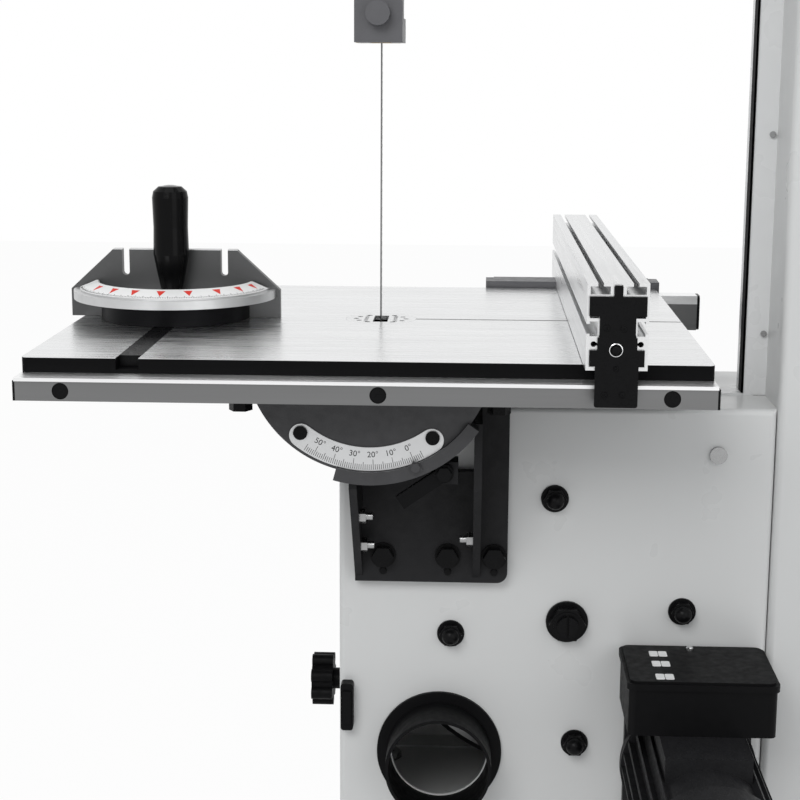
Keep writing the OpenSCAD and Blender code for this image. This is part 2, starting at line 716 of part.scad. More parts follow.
// Blade: one closed band, toothed on the door side
module blade() color("#8a8d90") difference() {
    along_y(-blade_w / 2, blade_w / 2)
        difference() {
            blade_outline(blade_t / 2);
            blade_outline(-blade_t / 2);
        }
    for (x = [0, loop_w])
        along_x(x - 1, x + 1)
            for (i = [0:floor((upper_z - lower_z) / tooth_pitch) - 1])
                gullet(lower_z + i * tooth_pitch);
    for (k = [0, 1])
        translate([wheel_x, 0, k == 0 ? upper_z : lower_z])
            for (i = [1:floor(180 / tooth_angle) - 1])
                rotate([0, (k == 0 ? -1 : 1) * i * tooth_angle, 0])
                    along_x(wheel_r - 1, wheel_r + 1) gullet(-tooth_pitch / 2);
}
tooth_angle = tooth_pitch / wheel_r * 180 / PI;

module blade_outline(grow) {
    for (z = [lower_z, upper_z])
        translate([wheel_x, z]) circle(wheel_r + grow);
    rect(-grow, loop_w + grow, lower_z, upper_z);
}

// Gap between two teeth, whose straight edge faces down
module gullet(z) {
    y = blade_w / 2;
    polygon([[y + 1, z], [y - 2.6, z + 0.6], [y - 3.2, z + 1.8], [y - 2.6, z + 3.2],
        [y - 0.4, z + tooth_pitch - 0.6], [y + 1, z + tooth_pitch - 0.4]]);
}

// Cast wheels: rim, web ring, five tapered spokes and a hub bored for two bearings
spoke_n = 5;

module wheel_casting(z) difference() {
    union() {
        difference() {
            ycyl(wheel_x, z, -rim_w / 2, rim_w / 2, rim_r);
            ycyl(wheel_x, z, -rim_w, rim_w, rim_r - 9);
        }
        difference() {
            ycyl(wheel_x, z, -4, 4, rim_r - 8);
            ycyl(wheel_x, z, -5, 5, rim_r - 16);
        }
        ycyl(wheel_x, z, -20, 20, hub_r);
        for (i = [0:spoke_n - 1])
            translate([wheel_x, 0, z]) rotate([0, i * 360 / spoke_n, 0]) {
                along_y(-3.8, 3.8)
                    polygon([[-17, hub_r - 6], [17, hub_r - 6], [11, rim_r - 12], [-11, rim_r - 12]]);
                along_y(-11, 11)
                    polygon([[-4, hub_r - 5], [4, hub_r - 5], [3, rim_r - 7], [-3, rim_r - 7]]);
            }
    }
    ycyl(wheel_x, z, -21, 21, bearing_r - 3);
    for (y = [-21, 20 - bearing_w])
        ycyl(wheel_x, z, y, y + bearing_w + 1, bearing_r);
}

module tyre(z) difference() {
    ycyl(wheel_x, z, -rim_w / 2, rim_w / 2, tyre_r);
    ycyl(wheel_x, z, -rim_w, rim_w, rim_r);
}

module bearing_pair(z)
    for (y = [-20, 20 - bearing_w])
        difference() {
            ycyl(wheel_x, z, y, y + bearing_w, bearing_r - run_gap);
            ycyl(wheel_x, z, y - 1, y + bearing_w + 1, axle_r + run_gap);
            for (f = [y, y + bearing_w])
                difference() {
                    ycyl(wheel_x, z, f - 0.8, f + 0.8, bearing_r - 4);
                    ycyl(wheel_x, z, f - 1, f + 1, axle_r + 3.5);
                }
        }

module lower_wheel() color("#9a9da0") union() {
    wheel_casting(lower_z);
    difference() {
        union() {
            ribbed_pulley(wheel_x, lower_z, wheel_pulley_r, belt_y0 - 2, belt_y1 + 2);
            ycyl(wheel_x, lower_z, belt_y1 + 1, -19, hub_r);
        }
        ycyl(wheel_x, lower_z, belt_y0 - 3, -18, bearing_r);
        ycyl(wheel_x, lower_z, belt_y0 - 3, belt_y1 - 6, wheel_pulley_r - 8);
    }
}

module upper_wheel() color("#9a9da0") wheel_casting(upper_z);
module lower_tyre() color("#1c1c1c") tyre(lower_z);
module upper_tyre() color("#1c1c1c") tyre(upper_z);
module lower_bearings() color("silver") bearing_pair(lower_z);
module upper_bearings() color("silver") bearing_pair(upper_z);

// Tensioning: carriage between two ways, spring, screw with handwheel
carriage_y0 = case_y0 + sheet_t + slide_gap;
carriage_y1 = -56;
ear_y1 = -30;
pivot_y = -42;
pivot_r = 5;
tracking_drop = 26;
tracking_r = 5;
screw_top = upper_z - carriage_drop + 8;

module tension_carriage() color("#4a4d50") difference() {
    union() {
        block(wheel_x - rail_x + slide_gap, wheel_x + rail_x - slide_gap, carriage_y0, carriage_y1, upper_z - carriage_drop, upper_z + carriage_rise);
        for (s = [-1, 1])
            block(wheel_x + s * 24 - 5.7, wheel_x + s * 24 + 5.7, carriage_y1 - 1, ear_y1, upper_z - 12, upper_z + 12);
    }
    xcyl(pivot_y, upper_z, wheel_x - 31, wheel_x + 31, pivot_r + run_gap);
    zcyl(wheel_x, tension_y, upper_z - carriage_drop - 1, upper_z - tracking_drop, screw_r + slide_gap);
    ycyl(wheel_x, upper_z - tracking_drop, carriage_y0 - 1, carriage_y1 + 1, tracking_r + run_gap);
}

spring_wire = 2.4;
spring_r = 10;
spring_n = 8;
spring_z0 = bar_z + bar_h;
spring_z1 = upper_z - carriage_drop;

// Coil swept from rings of six points, with a flat ring at each end for a seat
module tension_spring() color("silver") {
    rings = 12 * spring_n;
    sides = 6;
    lift = spring_wire + 0.6;
    span = spring_z1 - spring_z0 - 2 * lift;
    points = [for (i = [0:rings]) for (k = [0:sides - 1])
        let (a = 30 * i, b = 60 * k, r = spring_r + spring_wire * cos(b))
        [wheel_x + r * cos(a), tension_y + r * sin(a), spring_z0 + lift + span * i / rings + spring_wire * sin(b)]];
    faces = concat(
        [for (i = [0:rings - 1]) for (k = [0:sides - 1])
            let (p = i * sides + k, q = i * sides + (k + 1) % sides)
            each [[p, q, p + sides], [q, q + sides, p + sides]]],
        [[for (k = [sides - 1:-1:0]) k]],
        [[for (k = [0:sides - 1]) rings * sides + k]]);
    polyhedron(points, faces);
    for (z = [spring_z0, spring_z1 - spring_wire - 1])
        difference() {
            zcyl(wheel_x, tension_y, z, z + spring_wire + 1, spring_r + spring_wire);
            zcyl(wheel_x, tension_y, z - 1, z + spring_wire + 2, spring_r - spring_wire);
        }
}

module tension_handwheel() color("#222222") {
    zcyl(wheel_x, tension_y, upper_bottom - 34, screw_top, screw_r);
    translate([wheel_x, tension_y, upper_bottom - 36]) hand_wheel(56, 15, 5, 12);
    zcyl(wheel_x, tension_y, upper_bottom - 22, upper_bottom - slide_gap, 12);
}

// Tracking: block that tips on the carriage's pin and carries the upper axle
module tracking_block() color("#6a6d70") {
    block(wheel_x - 18, wheel_x + 18, -50, ear_y1, upper_z - tracking_drop - 8, upper_z + 20);
    xcyl(pivot_y, upper_z, wheel_x - 29.5, wheel_x + 29.5, pivot_r);
    ycyl(wheel_x, upper_z, ear_y1 - 1, 20, axle_r);
    ycyl(wheel_x, upper_z, ear_y1 - 1, -20.3, axle_r + 3);
    ycyl(wheel_x, upper_z, 20, 23, axle_r + 3);
}

module tracking_knob() color("#1c1c1c") {
    ycyl(wheel_x, upper_z - tracking_drop, case_y0 - 18, -51, tracking_r);
    star_knob_y(wheel_x, upper_z - tracking_drop, case_y0 - 36, case_y0 - 14, 26);
    ycyl(wheel_x, upper_z - tracking_drop, case_y0 - 14, case_y0 - 4, 10);
}

// Star knob: seven lobes round a hub
module star_form(r) {
    circle(r * 0.74);
    for (i = [0:6])
        rotate(i * 360 / 7)
            translate([r * 0.76, 0]) circle(r * 0.24);
}
module star_knob_y(x, z, y0, y1, r) translate([x, 0, z]) along_y(y0, y1) star_form(r);

// Table: plate with a deep edge, ribs, boss under the bar's slot, and the blade's slit
half_w = table_w / 2;
half_d = table_d / 2;
insert_r = insert_d / 2;
insert_t = 4;
hole_r = insert_r - 6;
slot_x = -200;
slot_w = bar_w + 0.6;
slot_t = 10;
slit_half = 2;
rib_y = [-150, 150];
rail_bolt_x = [-252, 12, 253];
rail_bolt_r = 4;
rail_head_r = 5.5;
near_head_r = 6.6;
near_bolt_z = t - 24.5;
far_bolt_z = t - 26;

module table() color("#c4c6c8") difference() {
    union() {
        along_z(t - plate_t, t)
            soft_rect(-half_w, half_w, -half_d, half_d, 5, 5);
        difference() {
            along_z(t - edge_h, t - plate_t + 1)
                soft_rect(-half_w, half_w, -half_d, half_d, 5, 5);
            along_z(t - edge_h - 1, t - plate_t)
                rect(-half_w + 11, half_w - 11, -half_d + 11, half_d - 11);
        }
        for (y = rib_y)
            block(-half_w + 5, half_w - 5, y > 0 ? y : -half_d + 5, y > 0 ? y + 8 : -half_d + 12, t - (y > 0 ? 32 : 30), t - plate_t + 1);
        for (x = [-240, 150])
            block(x, x + 8, -half_d + 5, half_d - 5, t - 30, t - plate_t + 1);
        block(slot_x - slot_w / 2 - 6, slot_x + slot_w / 2 + 6, -half_d + 5, half_d - 5, t - 21, t - plate_t + 1);
        zcyl(0, 0, t - plate_t - 6, t - plate_t + 1, insert_r + 5);
    }
    zcyl(0, 0, t - insert_t, t + 1, insert_r + seat_gap);
    zcyl(0, 0, t - plate_t - 8, t, hole_r);
    translate([0, 0, t - plate_t]) rotate([0, 180, 0]) cylinder(h = 7, r1 = hole_r, r2 = insert_r + 2);
    block(slot_x - slot_w / 2, slot_x + slot_w / 2, -half_d - 1, half_d + 1, t - slot_t, t + 1);
    block(0, half_w + 1, -slit_half, slit_half, t - edge_h - 1, t + 1);
    for (x = rail_bolt_x) {
        ycyl(x, near_bolt_z, -half_d - 1, -half_d + 12, rail_bolt_r + seat_gap);
        ycyl(x, far_bolt_z, half_d - 12, half_d + 1, rail_bolt_r + seat_gap);
    }
    for (x = trunnion_bolt_x)
        for (y = trunnion_bolt_y)
            zcyl(x, y, t - plate_t - 8, t - plate_t + 7, ear_bolt_r + seat_gap);
}
trunnion_bolt_x = [-113, 113];
ear_bolt_r = 4;
ear_z = edge_h + 11;
trunnion_bolt_y = [-180, -104];

// Round insert with the blade's slot and rows of dust holes
module table_insert() color("#2b2b2b") difference() {
    zcyl(0, 0, t - insert_t, t, insert_r);
    block(-7, 7, -20, 20, t - insert_t - 1, t + 1);
    for (a = [0:30:330])
        if (abs(sin(a)) < 0.9)
            zcyl(24 * cos(a), 24 * sin(a), t - insert_t - 1, t + 1, 2.6);
    for (s = [-1, 1])
        for (y = [-16, -8, 0, 8, 16])
            zcyl(s * 14, y, t - insert_t - 1, t + 1, 2.2);
}

// Rails: hollow profile whose top flange carries a thin lip
near_y0 = -half_d - 22;
near_lip = -half_d - 25.5;

module near_rail() color("silver") difference() {
    along_x(-half_w, half_w) difference() {
        union() {
            rect(near_y0, -half_d, t - 33, t - 15);
            rect(near_lip, -half_d, t - 16, t - 13);
        }
        rect(near_y0 + 2.5, -half_d - 5, t - 30.5, t - 18);
    }
    for (x = rail_bolt_x) {
        ycyl(x, near_bolt_z, near_y0 - 1, -half_d - 4.9, near_head_r + 0.4);
        ycyl(x, near_bolt_z, -half_d - 6, -half_d + 1, rail_bolt_r + seat_gap);
    }
}

far_y1 = half_d + 27;
far_x0 = -half_w;
far_x1 = half_w + 46;

module far_rail() color("silver") difference() {
    along_x(far_x0, far_x1) difference() {
        soft_rect(half_d, far_y1, t - 45, t - 7, 0.01, 0.01);
        rect(half_d + 4, far_y1 - 3, t - 42, t - 36);
        rect(half_d + 4, far_y1 - 3, t - 33.5, t - 18.5);
        rect(half_d + 4, far_y1 - 3, t - 16, t - 10);
        rect(far_y1 - 4, far_y1 + 1, t - 29.5, t - 22.5);
    }
    for (x = rail_bolt_x)
        ycyl(x, far_bolt_z, half_d - 1, half_d + 5, rail_bolt_r + seat_gap);
    // Notch that the mitre gauge's bar passes through
    block(slot_x - slot_w / 2, slot_x + slot_w / 2, half_d - 1, far_y1 + 1, t - slot_t, t);
}

// Black fittings of the rails and scale: end caps, cap screws, slit pin
module rail_fittings() color("#1c1c1c") {
    for (x = [-half_w - 2, half_w])
        along_x(x, x + 2)
            rect(near_y0, -half_d, t - 33, t - 16);
    for (x = [far_x0 - 3, far_x1])
        along_x(x, x + 3)
            soft_rect(half_d + 0.5, far_y1, t - 45, t - 7, 5, 5);
    for (x = rail_bolt_x) {
        ycyl(x, near_bolt_z, near_y0 + 0.8, -half_d - 5, near_head_r);
        ycyl(x, near_bolt_z, -half_d - 6, -half_d + 10, rail_bolt_r);
        ycyl(x, far_bolt_z, half_d + 4, half_d + 8, rail_head_r);
        ycyl(x, far_bolt_z, half_d - 10, half_d + 5, rail_bolt_r);
    }
    for (x = trunnion_bolt_x)
        for (y = trunnion_bolt_y) {
            zcyl(x, y, t - ear_z - 3, t - plate_t + 6, ear_bolt_r);
            hex_z(x, y, t - ear_z - 9, t - ear_z, 18);
        }
    translate([0, 0, t])
        for (a = scale_ends)
            rotate([0, -a, 0]) ycyl(0, -scale_rc, disc_y0 - 4, disc_y0 - scale_t, 6.2);
}

// Trunnion: two half discs joined by a flange and a curved web, bolted under the table
flange_z = plate_t + 12;
scale_t = 1.5;
scale_r0 = trunnion_r - 23.8;
scale_r1 = trunnion_r - 2.9;
scale_rc = trunnion_r - 15;
scale_mid = (scale_r0 + scale_r1) / 2;
scale_ends = [-39.5, 36.5];
scale_in = 1.2;

module half_disc(r) intersection() {
    circle(r);
    rect(-r - 1, r + 1, -r - 1, -plate_t);
}

module trunnion() color("#2b2b2b") difference() {
    translate([0, 0, t]) {
        along_y(disc_y0, disc_y0 + disc_t) half_disc(trunnion_r);
        along_y(disc2_y0, disc2_y0 + disc_t) difference() {
            half_disc(trunnion_r);
            sector(40, 84, -60, 60);
        }
        along_y(disc_y0, disc2_y0 + disc_t) union() {
            rect(-126, 126, -flange_z, -plate_t);
            difference() {
                half_disc(70);
                circle(62);
            }
        }
        // Ears that reach down to the bolts
        for (x = trunnion_bolt_x)
            for (y = trunnion_bolt_y)
                zcyl(x, y, -ear_z, -flange_z + 1, 13);
    }
    for (x = trunnion_bolt_x)
        for (y = trunnion_bolt_y)
            zcyl(x, y, t - ear_z - 1, t - plate_t + 1, ear_bolt_r + seat_gap);
    // Relief behind the face, inside the web
    translate([0, 0, t]) along_y(disc_y0 + 6, disc_y0 + disc_t + 1)
        sector(20, 58, -62, 62);
}

// Degree plate with round ends, held by a screw at each end
module tilt_scale() color("silver")
    translate([0, 0, t])
        along_y(disc_y0 - scale_t, disc_y0)
            union() {
                sector(scale_r0, scale_r1, scale_ends[0] + scale_in, scale_ends[1] - scale_in);
                for (a = [scale_ends[0] + scale_in, scale_ends[1] - scale_in])
                    translate([scale_mid * sin(a), -scale_mid * cos(a)]) circle((scale_r1 - scale_r0) / 2 - 0.1);
            }

// Fence: extruded profile with slots at the top and the sides
fence_x0 = 180.5;
fence_x1 = fence_x0 + fence_w;
fence_xc = (fence_x0 + fence_x1) / 2;
fence_z0 = t + 1;
fence_y0 = -275;
fence_y1 = fence_y0 + fence_l;

// Right half of the profile's empty spaces, mirrored for the left half
module fence_voids(w, h, wall) {
    slot_h = 6.5;
    side_z = h - 43;
    half = w / 2;
    // Top slot and its mouth
    rect(half - wall - 16, half - wall, h - wall - slot_h, h - wall);
    rect(half - wall - 10.5, half - wall - 6, h - wall - 1, h + 1);
    // Side slot and its mouth
    rect(half - wall - slot_h, half - wall, side_z + 0, side_z + 12);
    rect(half - wall - 1, half + 1, side_z + 2, side_z + 10);
    // Screw port below the side slot
    translate([half - wall - 3.4, side_z - 6.4]) circle(2.3);
    rect(half - wall - 7, half - wall - 3.4, side_z - 7.6, side_z - 5.2);
}

module fence_core(w, h, wall) {
    slot_h = 6.5;
    side_z = h - 43;
    half = w / 2;
    // Space between the slots, drawn as three joined rooms
    rect(-(half - wall * 2 - 16), half - wall * 2 - 16, side_z, h - wall);
    rect(-half + wall, half - wall, side_z + 12 + wall, h - slot_h - 2 * wall);
    rect(-half + 2 * wall + slot_h, half - 2 * wall - slot_h, side_z - 3, side_z + 13 + wall);
    rect(-half + wall + 7.2, half - wall - 7.2, -1, side_z + 1);
    rect(-half + wall, half - wall, 3, side_z - 11);
    rect(-half + 8, half - 8, -1, 4);
}

module fence() color("silver")
    translate([fence_xc, 0, fence_z0])
        along_y(fence_y0, fence_y1)
            difference() {
                translate([-fence_w / 2, 0]) square([fence_w, fence_h]);
                fence_core(fence_w, fence_h, fence_t);
                fence_voids(fence_w, fence_h, fence_t);
                mirror([1, 0]) fence_voids(fence_w, fence_h, fence_t);
            }

// Black end plate that follows the profile's inner room and reaches down past the rail
module fence_end_plate() color("#1c1c1c")
    translate([fence_xc, 0, fence_z0])
        along_y(fence_y0 - 3, fence_y0)
            union() {
                rect(-3.2, 3.2, fence_h - 12, fence_h - 1.5);
                rect(-fence_w / 2 + 2, fence_w / 2 - 2, fence_h - 26.5, fence_h - 10.5);
                rect(-14.5, 14.5, fence_h - 46, fence_h - 25);
                rect(-fence_w / 2 + 3, fence_w / 2 - 3, 4, fence_h - 54);
                rect(-16, 16, 0, fence_h - 44);
                soft_rect(-17.5, 17.5, -30, 5, 2, 0.01);
            }

// Carriage on the far rail, with a channel that the fence lies in
car_x0 = 103;
car_x1 = 294;
car_y1 = far_y1 + 16;

module fence_carriage() color("#3a3a3a") difference() {
    union() {
        block(car_x0, car_x1, half_d + 3, car_y1, t - 7 + slide_gap, t + 7);
        block(car_x0 + 10, car_x1 - 10, far_y1 + slide_gap, car_y1, t - 49, t);
        block(car_x0 + 10, car_x1 - 10, far_y1 - 6, far_y1 + 2, t - 49, t - 45 - slide_gap);
        // Ears for the clamp lever's pin
        for (x = [fence_xc - 22, fence_xc + 14])
            along_x(x, x + 8)
                union() {
                    rect(car_y1 - 1, car_y1 + 12, t - 34, t - 14);
                    translate([car_y1 + 12, t - 24]) circle(10);
                }
    }
    block(fence_x0, fence_x1, half_d, car_y1 + 1, fence_z0, t + 8);
    xcyl(car_y1 + 12, t - 24, fence_xc - 23, fence_xc + 23, 4 + run_gap);
    // Soft front corners
    for (x = [car_x0, car_x1 - 8])
        block(x - 1, x + 9, car_y1 - 6, car_y1 + 1, t - 8, t + 8);
}

module fence_lever() color("#1c1c1c") {
    xcyl(car_y1 + 12, t - 24, fence_xc - 22, fence_xc + 22, 4);
    along_x(fence_xc - 13.7, fence_xc + 13.7)
        difference() {
            union() {
                translate([car_y1 + 12, t - 24]) circle(9);
                translate([car_y1 + 12, t - 24]) rotate(-22) {
                    rect(0, 92, -5, 5);
                    translate([92, 0]) circle(5);
                }
            }
            translate([car_y1 + 12, t - 24]) circle(2);
        }
}

// Mitre gauge
bar_l = 450;
mitre_y = 0;
mitre_pin_r = 5;
handle_y = mitre_y - 22;
handle_stud_r = 4;
face_h = 66;
face_t = 9;
face_y0 = mitre_y - 3;
floor_z = 20;
floor_t = 3;
rim_z = 28;
ring_z = 29.5;
handle_z0 = floor_z + floor_t + slide_gap;

module mitre_bar() color("silver") union() {
    block(slot_x - bar_w / 2, slot_x + bar_w / 2, -bar_l / 2, bar_l / 2, t - slot_t + slide_gap, t);
    zcyl(slot_x, mitre_y, t - 1, t + floor_z - 2, mitre_pin_r);
}

// Near half of a ring or disc round the gauge's pivot
module near_half(r0, r1) difference() {
    circle(r1);
    circle(r0);
    rect(-r1 - 1, r1 + 1, face_y0 + face_t - mitre_y, r1 + 1);
}

// Swivel casting: half-round protractor with a raised scale on a short base, and an upright work face
module mitre_head() color("#b9bbbd") difference() {
    union() {
        translate([slot_x, mitre_y, t]) {
            along_z(floor_z, floor_z + floor_t) near_half(0.01, protractor_r - 28);
            along_z(floor_z, rim_z) near_half(protractor_r - 29, protractor_r);
            along_z(rim_z - 1, ring_z) near_half(protractor_r - 26, protractor_r - 6);
            along_z(slide_gap, floor_z + 1) near_half(0.01, 72);
        }
        translate([slot_x, 0, t]) along_y(face_y0, face_y0 + face_t)
            polygon([[-face_half, slide_gap], [face_half, slide_gap], [face_half, rim_z - 1], [63, face_h - 3],
                [60, face_h], [-60, face_h], [-63, face_h - 3], [-face_half, rim_z - 1]]);
    }
    zcyl(slot_x, mitre_y, t - 1, t + floor_z - 2 + slide_gap, mitre_pin_r + run_gap);
    zcyl(slot_x, handle_y, t + floor_z - 3, t + floor_z + floor_t + 1, handle_stud_r + run_gap);
    for (x = [slot_x - 48, slot_x + 48])
        along_y(face_y0 - 1, face_y0 + face_t + 1)
            union() {
                rect(x - 3.5, x + 3.5, t + 44, t + face_h + 1);
                translate([x, t + 44]) circle(3.5);
            }
}
face_half = protractor_r + 4;

// Turned handle, bellied at its shoulder and drawn in at the neck
module mitre_handle() color("#161616") {
    translate([slot_x, handle_y, t + handle_z0]) rotate_extrude()
        polygon([[0, 0], [10, 0], [10, 6], [11, 10], [14, 24], [17, 40], [16.4, 66], [17.2, 94], [16, 100], [11, 104.5], [0, 106]]);
    zcyl(slot_x, handle_y, t + floor_z - 2, t + handle_z0 + 1, handle_stud_r);
}

// Flat lever that locks the tilt

module clamp_lever() color("#161616") difference() {
    along_y(disc_y0 + 1, disc_y0 + 9)
        translate([lever_x, lever_z]) rotate(215) union() {
            circle(8.2);
            rect(0, 47, -6.4, 6.4);
        }
    ycyl(lever_x, lever_z, disc_y0 - 1, disc_y0 + 11, stud_r + run_gap);
}

// Doors: deep pans with round left corners, hung on the column
door_x1 = case_x1 - 2;
door_y0 = case_y1 + slide_gap;
door_y1 = case_y1 + door_d;
knob_y = 66;
lower_knob_z = t - 394;
upper_knob_z = (upper_bottom + upper_top) / 2;

module door_form(z0, z1, inset) {
    r = bend_r - inset;
    intersection() {
        along_z(z0 + inset, z1 - inset)
            soft_rect(case_x0 + inset, door_x1 - inset, door_y0 - (inset > 0 ? 1 : 0), door_y1 - inset, 0.01, r);
        along_y(door_y0 - (inset > 0 ? 1 : 0), door_y1 - inset)
            soft_left(case_x0 + inset, door_x1 - inset, z0 + inset, z1 - inset, corner_r - inset);
    }
}

module door_pan(z0, z1, knob_z, hinges) {
    difference() {
        union() {
            difference() {
                door_form(z0, z1, 0);
                door_form(z0, z1, sheet_t);
            }
            // Fork that slips behind the knob's stud
            along_x(case_x0 - 2.8, case_x0 - slide_gap)
                rect(knob_y - 10, door_y0 + 12, knob_z - 13, knob_z + 13);
            block(case_x0 - 2.8, case_x0 + 1, door_y0 + 2, door_y0 + 12, knob_z - 13, knob_z + 13);
        }
        along_x(case_x0 - 4, case_x0 - slide_gap)
            union() {
                rect(knob_y - 11, knob_y, knob_z - 4.8, knob_z + 4.8);
                translate([knob_y, knob_z]) circle(4.8);
            }
    }
    for (z = hinges)
        for (s = [-1, 1])
            difference() {
                union() {
                    zcyl(hinge_x, hinge_y, z + s * 16.2 - 5.8, z + s * 16.2 + 5.8, knuckle_r);
                    block(door_x1 - 1, hinge_x, hinge_y, hinge_y + knuckle_r, z + s * 16.2 - 5.8, z + s * 16.2 + 5.8);
                }
                zcyl(hinge_x, hinge_y, z - 30, z + 30, hinge_pin_r + run_gap);
            }
}

module lower_door() color("whitesmoke") door_pan(lower_bottom + 1, lower_top - 1, lower_knob_z, lower_hinges);
module upper_door() color("whitesmoke") door_pan(upper_bottom + 1, upper_top - 1, upper_knob_z, upper_hinges);

module door_knob(z) {
    xcyl(knob_y, z, case_x0 - 30, case_x0, 4);
    xcyl(knob_y, z, case_x0 - 20, case_x0 - 4.6, 11);
    along_x(case_x0 - 40, case_x0 - 18)
        translate([knob_y, z]) star_form(28);
}

module lower_door_knob() color("#161616") door_knob(lower_knob_z);
module upper_door_knob() color("#161616") door_knob(upper_knob_z);

stand();
lower_housing();
column();
upper_housing();
return_guard();
hinge_brackets();
lower_shaft();
wall_fasteners();
trunnion_bracket();
saddle();
frame_fasteners();
lower_guide_bracket();
motor_body();
terminal_box();
terminal_lid();
drive_belt();
dust_port();
door_switch();
switch_box();
blade();
lower_wheel();
lower_tyre();
lower_bearings();
motor_pulley();
tension_carriage();
tension_spring();
tension_handwheel();
tracking_block();
tracking_knob();
upper_wheel();
upper_tyre();
upper_bearings();
guide_post();
guide_head();
upper_guide_blocks();
blade_guard();
guide_handwheel();
upper_thrust_bearing();
lower_thrust_bearing();
table();
table_insert();
near_rail();
far_rail();
rail_fittings();
trunnion();
tilt_scale();
fence();
fence_end_plate();
fence_carriage();
fence_lever();
mitre_bar();
mitre_head();
mitre_handle();
clamp_lever();
lower_door();
upper_door();
lower_door_knob();
upper_door_knob();
start_button();
stop_button();
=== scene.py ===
import math

import bmesh
import bpy
from mathutils import Matrix, Vector


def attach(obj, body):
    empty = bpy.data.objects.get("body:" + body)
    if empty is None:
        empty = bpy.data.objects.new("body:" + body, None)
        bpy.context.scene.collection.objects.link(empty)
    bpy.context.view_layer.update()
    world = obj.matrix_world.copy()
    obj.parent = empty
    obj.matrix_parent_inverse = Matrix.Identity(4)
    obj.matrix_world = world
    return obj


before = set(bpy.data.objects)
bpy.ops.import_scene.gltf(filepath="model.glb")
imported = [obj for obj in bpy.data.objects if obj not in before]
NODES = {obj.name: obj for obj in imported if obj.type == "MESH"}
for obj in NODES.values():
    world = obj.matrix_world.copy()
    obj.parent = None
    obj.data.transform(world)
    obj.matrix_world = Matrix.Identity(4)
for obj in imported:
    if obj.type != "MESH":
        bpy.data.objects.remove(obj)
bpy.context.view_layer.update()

MM = 0.001
bpy.context.view_layer.update()


def box(name):
    """Low and high corner of a node's box, in millimetres."""
    corners = [NODES[name].matrix_world @ Vector(corner) / MM for corner in NODES[name].bound_box]
    return [Vector(pick(c[i] for c in corners) for i in range(3)) for pick in (min, max)]


TABLE = box("table")[1].z
HANDLE_LOW, HANDLE_HIGH = box("mitre_handle")
PLATE_LOW, PLATE_HIGH = box("fence_end_plate")
LID_LOW, LID_HIGH = box("terminal_lid")
SCALE_LOW = box("tilt_scale")[0]

# Heights and places are in millimetres in the machine's own frame, unless a line says metres.
# Mitre gauge: work face from its near side to its far side, top of the painted shade on the work face,
# underside of the protractor's rim, and top of its ring
WORK_FACE = (-3.2, 6.2)
PAINTED_SHADE_TOP = TABLE + 65.2
RIM_UNDER = TABLE + 19.8
RING_TOP = TABLE + 29.5


